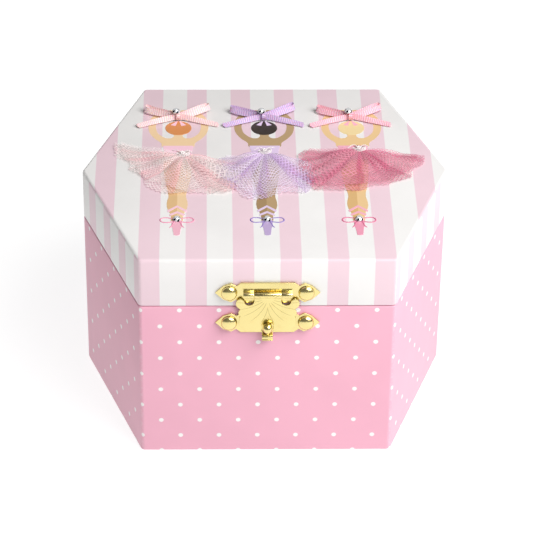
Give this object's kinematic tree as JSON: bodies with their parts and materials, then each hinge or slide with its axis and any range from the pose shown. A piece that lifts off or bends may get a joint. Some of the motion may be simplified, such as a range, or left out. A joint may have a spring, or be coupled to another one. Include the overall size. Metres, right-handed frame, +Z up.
{
  "type": "ballerina jewellery box",
  "caption": "Hexagonal paper-covered musical jewellery box with a hinged lid, brass hasp, ribbon and tulle trimmings and a turning dancer inside.",
  "frame": {"origin": "centre of the hexagonal underside", "axes": "+Z up, the hasp faces -Y, +X to the right of someone facing the hasp"},
  "size_m": [0.1476, 0.1485, 0.1021],
  "materials": {
    "dotted_paper": "satin printed paper on board",
    "striped_paper": "satin printed paper on board",
    "greyboard": "matt",
    "flock": "flocked",
    "velvet": "velvet",
    "mirror_glass": "polished",
    "stamped_brass": "bright plated",
    "brass": "satin",
    "steel": "satin",
    "pale_ribbon": "grosgrain",
    "lilac_ribbon": "grosgrain",
    "rose_ribbon": "grosgrain",
    "pale_tulle": "tulle",
    "lilac_tulle": "tulle",
    "rose_tulle": "tulle",
    "thread": "cotton",
    "rhinestone": "faceted, clear",
    "moulded_plastic": "moulded",
    "net": "stiff net"
  },
  "bodies": {
    "case": {"base_wall": "dotted_paper", "base_bottom": "greyboard", "floor_ledge": "greyboard", "floor": "flock", "base_lining": "flock", "divider_cross": "flock", "divider_left": "flock", "divider_right": "flock", "ring_cushion": "velvet", "hinge_left_base_leaf": "stamped_brass", "hinge_right_base_leaf": "stamped_brass", "hinge_left_pin": "steel", "hinge_right_pin": "steel", "keeper_plate": "stamped_brass", "catch_pin": "stamped_brass", "tack_lower_left": "stamped_brass", "tack_lower_right": "stamped_brass", "bedplate": "steel", "comb": "steel", "comb_bed": "brass", "key_escutcheon": "stamped_brass", "spindle_bush": "brass"},
    "lid": {"lid_wall": "striped_paper", "lid_top": "striped_paper", "lid_lining": "flock", "mirror": "mirror_glass", "hinge_left_lid_leaf": "stamped_brass", "hinge_right_lid_leaf": "stamped_brass", "hasp_plate": "stamped_brass", "hasp_pin": "stamped_brass", "tack_upper_left": "stamped_brass", "tack_upper_right": "stamped_brass", "bow_left": "pale_ribbon", "bow_middle": "lilac_ribbon", "bow_right": "rose_ribbon", "tutu_left": "pale_tulle", "tutu_middle": "lilac_tulle", "tutu_right": "rose_tulle", "tie_left": "thread", "tie_middle": "thread", "tie_right": "thread", "bow_gem_left": "rhinestone", "bow_gem_middle": "rhinestone", "bow_gem_right": "rhinestone", "shoe_gem_left": "rhinestone", "shoe_gem_middle": "rhinestone", "shoe_gem_right": "rhinestone"},
    "flap": {"hasp_flap": "stamped_brass"},
    "catch": {"catch_lever": "stamped_brass"},
    "key": {"winding_key": "stamped_brass"},
    "barrel": {"spring_barrel": "brass"},
    "cylinder": {"music_cylinder": "brass"},
    "fan": {"governor_fan": "brass"},
    "turning_stage": {"spindle": "steel", "turntable": "velvet", "dancer_spring": "steel"},
    "dancer": {"dancer": "moulded_plastic", "dancer_skirt": "net"}
  },
  "joints": [
    {"name": "lid_hinge", "type": "hinge", "parent": "case", "child": "lid", "pos_m": [0, 0.0662, 0.07115], "axis": [-1, 0, 0], "range_deg": [0, 100]},
    {"name": "flap_hinge", "type": "hinge", "parent": "lid", "child": "flap", "pos_m": [0, -0.0669, 0.0782], "axis": [-1, 0, 0], "range_deg": [0, 120]},
    {"name": "catch_hinge", "type": "hinge", "parent": "case", "child": "catch", "pos_m": [0, -0.066, 0.0577], "axis": [1, 0, 0], "range_deg": [0, 100]},
    {"name": "key_turn", "type": "hinge", "parent": "case", "child": "key", "pos_m": [0, 0.07, 0.017], "axis": [0, 1, 0], "continuous": true},
    {"name": "barrel_spin", "type": "hinge", "parent": "case", "child": "barrel", "pos_m": [0, 0.05, 0.017], "axis": [0, 1, 0], "continuous": true},
    {"name": "cylinder_spin", "type": "hinge", "parent": "case", "child": "cylinder", "pos_m": [0.015, 0.03, 0.017], "axis": [0, 1, 0], "continuous": true},
    {"name": "fan_spin", "type": "hinge", "parent": "case", "child": "fan", "pos_m": [0.0234, 0.01, 0.017], "axis": [0, 1, 0], "continuous": true},
    {"name": "stage_spin", "type": "hinge", "parent": "case", "child": "turning_stage", "pos_m": [0, 0.024, 0.03], "axis": [0, 0, 1], "continuous": true},
    {"name": "dancer_sway", "type": "hinge", "parent": "turning_stage", "child": "dancer", "pos_m": [0, 0.024, 0.04055], "axis": [1, 0, 0], "range_deg": [-12, 12], "stiffness_Nm_per_rad": 0.002, "deforming": ["dancer_spring"]}
  ],
  "couplings": [
    {"joint": "cylinder_spin", "follows": "barrel_spin", "ratio": -4},
    {"joint": "fan_spin", "follows": "barrel_spin", "ratio": 12.8},
    {"joint": "stage_spin", "follows": "barrel_spin", "ratio": -0.44444}
  ]
}
